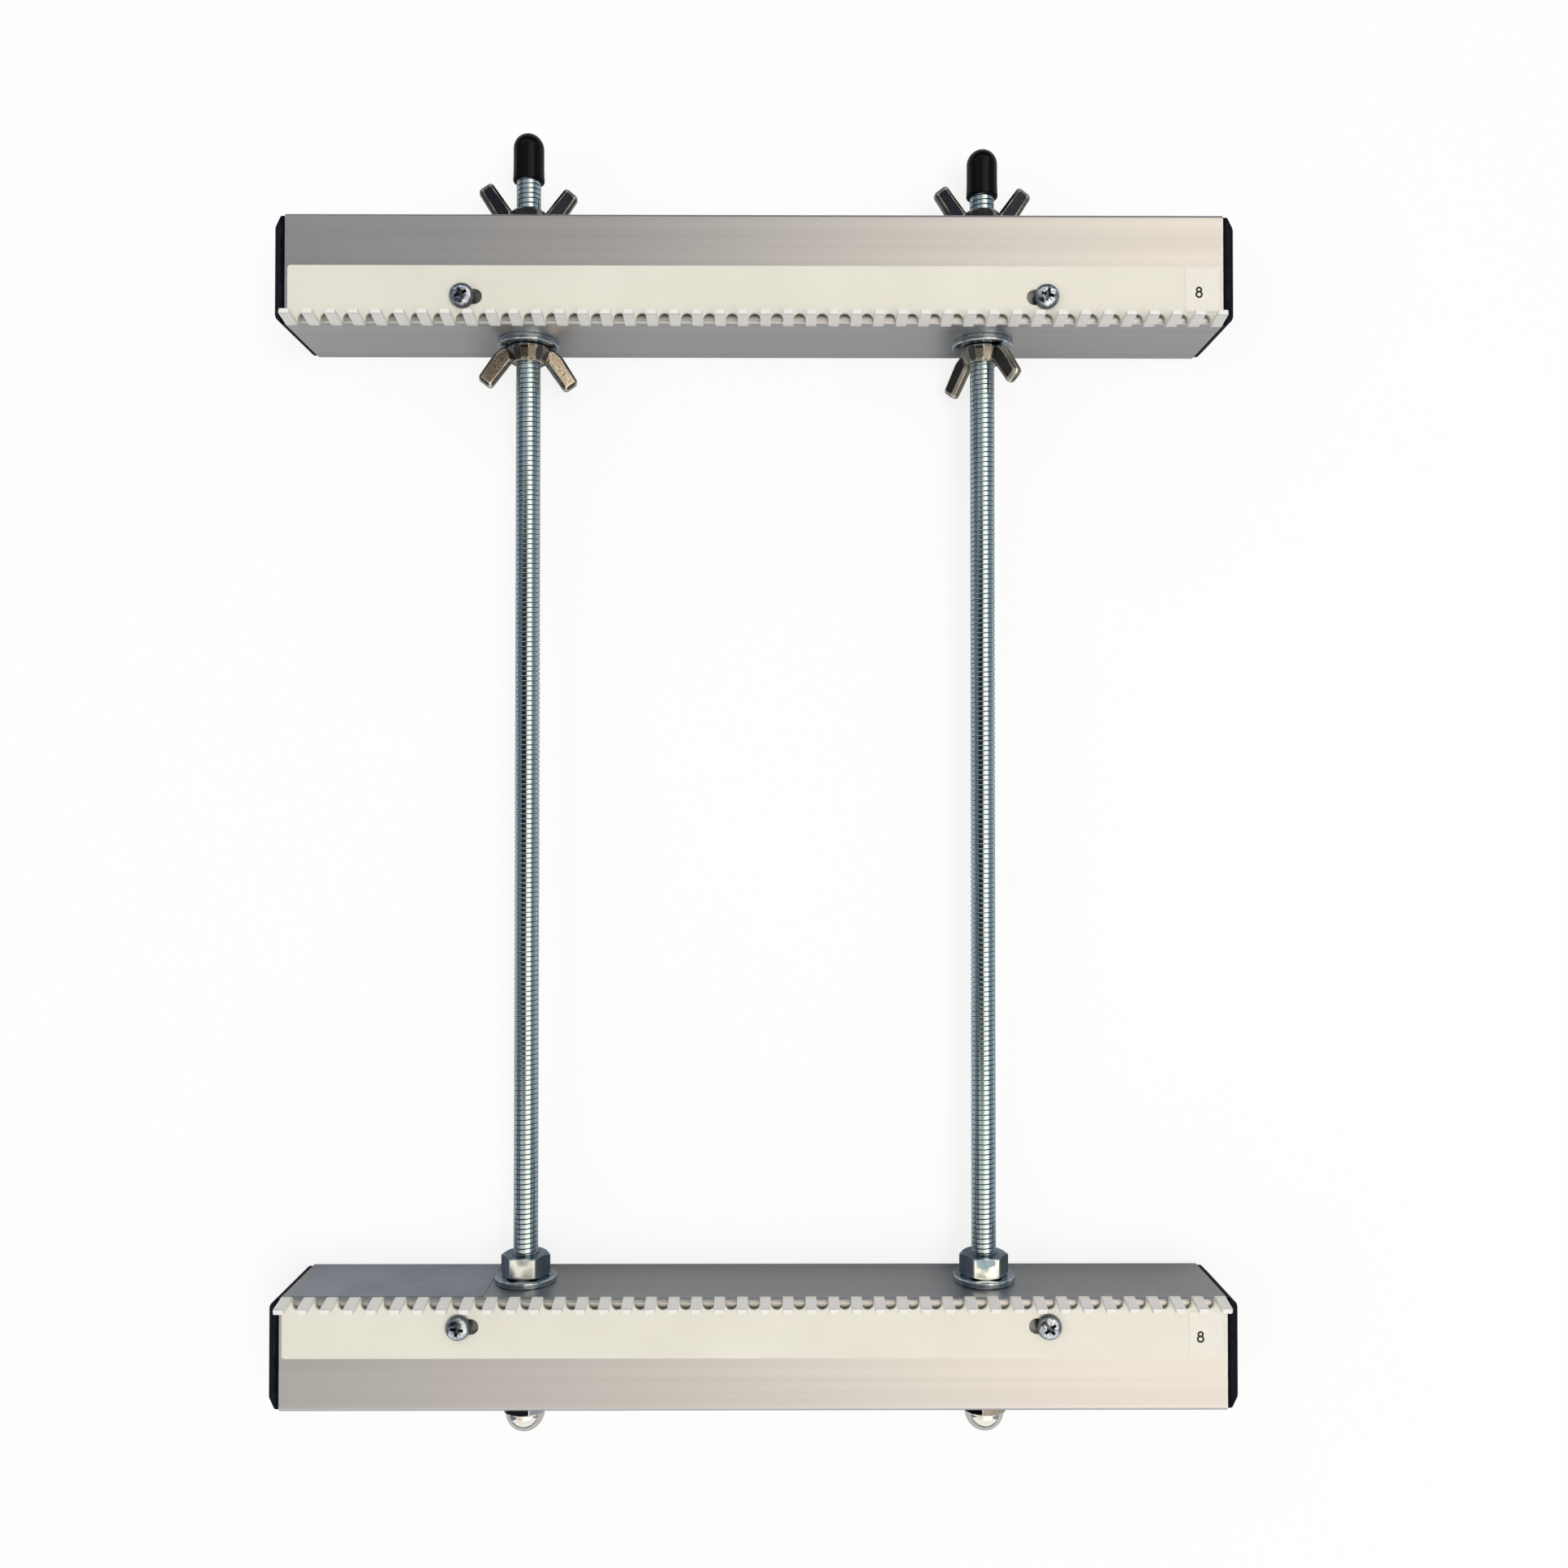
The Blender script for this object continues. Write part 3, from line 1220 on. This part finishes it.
def cast_wing_nut():
    foot, top = hub_foot / 2, hub_top / 2
    outline = [(0, 0), (foot - 0.45, 0), (foot, 0.45), (foot, 1.1), (top + 0.15, hub_height - 0.5)]
    outline += [(top - 0.3, hub_height), (0, hub_height)]
    bm = turned(outline, 16)
    for side, _ in side_words:
        join(bm, wing(side))
    bm = worked(bm, "REMESH", mode="VOXEL", voxel_size=0.18)
    for _ in range(2):
        bmesh.ops.smooth_vert(
            bm, verts=bm.verts, factor=0.5, use_axis_x=True, use_axis_y=True, use_axis_z=True
        )
    return cut(bm, stub(nut_bore, 4 * hub_height, Matrix.Identity(4)))


# %% [markdown]
# ## Where fingers rub
# A point is on a ridge, and so worn, when its neighbours all lie below it. Grain marks the broad
# faces of the wings. Both are averaged with their neighbours, so they fade in over a few points.

# %% Wear and grain of the casting
def evened(bm, layer, rounds):
    """Averages a point's value with its neighbours', a few times over."""
    for _ in range(rounds):
        before = [point[layer] for point in bm.verts]
        for point in bm.verts:
            near = [before[e.other_vert(point).index] for e in point.link_edges]
            near.append(before[point.index])
            point[layer] = sum(near) / len(near)


def mark_casting(bm):
    """Stores two values per point: wear, 1 on a ridge, and grain, 1 on a wing's broad face."""
    bm.verts.layers.float.new("wear")
    grain = bm.verts.layers.float.new("grain")
    wear = bm.verts.layers.float["wear"]
    bm.normal_update()
    bm.verts.index_update()
    for point in bm.verts:
        ways = [e.other_vert(point).co - point.co for e in point.link_edges]
        point[wear] = sum(-way.normalized().dot(point.normal) for way in ways) / max(len(ways), 1)
        on_wing = abs(point.co.x) > hub_foot / 2 - 0.4
        point[grain] = float(on_wing and abs(point.normal.y) > 0.93)
    evened(bm, wear, 2)
    evened(bm, grain, 1)
    for point in bm.verts:
        point[wear] = max(0.0, min(1.0, 9 * point[wear]))
    return bm


casting = mark_casting(cast_wing_nut())
for mark in ("wear", "grain"):
    layer = casting.verts.layers.float[mark]
    marked = sum(point[layer] > 0.5 for point in casting.verts)
    print("casting:", marked, "of", len(casting.verts), "points have", mark)

# %% Four wing nuts
wing_turns = {
    "upper_wing_nut_left": (1, 10, dark_nickel), "upper_wing_nut_right": (1, 3, dark_nickel),
    "lower_wing_nut_left": (-1, -10, warm_nickel), "lower_wing_nut_right": (-1, 50, grey_nickel),
}
for node, (up, turn, finish) in wing_turns.items():
    place = on_rod(node, up) @ Matrix.Rotation(math.radians(turn), 4, "Z")
    hand_over("cast_" + node, casting.copy(), place, node, "wing_nut", finish, crease=60)
casting.free()

# %% [markdown]
# ## Labels
# Each comb ends in a small label with a plain figure, the number of its dents to the inch. The
# long label on the bottom bar's inner face is plain. A label is a thin sheet with round corners,
# a few hundredths of a millimetre proud, so its edge shows as a fine line.

# %% Finishes of the labels
film = Finish("number_label_film", IOR=1.45)
bubbles = film.noise(2.4, 3.0)
film_tone = film.layered(
    (0.725, 0.70, 0.62), (bubbles.share(0.3, 0.7), (0.76, 0.735, 0.655)),
    (film.worn() * 0.4, (0.66, 0.64, 0.57)),
)
film.wear_this(film_tone, 0.30 + bubbles * 0.12, bubbles.share(0.35, 0.7), 0.03, 0.6)
foil = Finish("blank_label_paper", IOR=1.45)
fibres = foil.noise(0.6, 3.0)
creases = foil.noise(9.0, 3.0)
foil_tone = foil.layered(
    (0.20, 0.225, 0.265), (creases.share(0.3, 0.7), (0.245, 0.27, 0.31)),
    (foil.worn() * 0.6, (0.17, 0.185, 0.21)),
)
foil.wear_this(foil_tone, 0.42 + fibres * 0.14, fibres + creases, 0.03, 0.5)
ink = Finish("black_label_ink", IOR=1.45)
ink_grain = ink.noise(0.25, 2.0)
ink_tone = ink.blend(ink_grain, (0.004, 0.004, 0.005), (0.014, 0.014, 0.017))
ink.wear_this(ink_tone, 0.45 + ink_grain * 0.15, ink_grain, 0.01, 0.5)

# %% Label sheets
def label_sheet(low, high):
    """A thin sheet that fills a box, with round corners across its thinnest side."""
    size = high - low
    thin = min(range(3), key=lambda i: size[i])
    bm = block((low + high) / 2, size)
    rounded(bm, [e for e in bm.edges if span(e, thin) > 1e-4], 0.6, 5)
    soften(bm, sharp_edges(bm, 60), size[thin] * 0.3, 1)
    return bm


for node, slot, finish in (
    ("top_number_label", "number_label", film), ("bottom_number_label", "number_label", film),
    ("maker_label", "maker_label", foil),
):
    hand_over(node + "_sheet", label_sheet(*box_mm(node)), Matrix.Identity(4), node, slot, finish)

# %% [markdown]
# ## The plain figure on the number labels
# The 8 is printed in two round strokes. Typed text would need a font that every reader has, so it
# is two flat rings, a hundredth of a millimetre thick, that overlap by one stroke.

# %% Two printed figures
figure_height = 2.92
stroke = 0.48
upper_ring, lower_ring = 0.80, 0.94
ink_sunk = 0.002
figure_places = {"top": (111.65, 121.75), "bottom": (111.0, -139.2)}


def figure_eight():
    bm = bench()
    half = figure_height / 2
    rings = ((upper_ring, half - upper_ring), (lower_ring, lower_ring - half))
    for ring, (radius, middle) in enumerate(rings):
        thick, hole = 0.012 + 0.004 * ring, radius - stroke
        loop = turned([(hole, 0), (radius, 0), (radius, thick), (hole, thick)], 40)
        bmesh.ops.translate(loop, verts=loop.verts, vec=(0, middle, 0))
        join(bm, loop)
    return bm


for bar, (x, y) in figure_places.items():
    node = bar + "_number_label"
    place = Matrix.Translation((x, y, box_mm(node)[1].z - ink_sunk))
    hand_over(f"{bar}_figure", figure_eight(), place, node, "number_label", ink)

# %% [markdown]
# ## Handing in
# The visual model has to stay inside the packed one's box, so both boxes are written down. The
# frame's own last call then checks that every piece rides on a body.

# %% Write the sizes and finish
print(len(made_pieces), "pieces made")
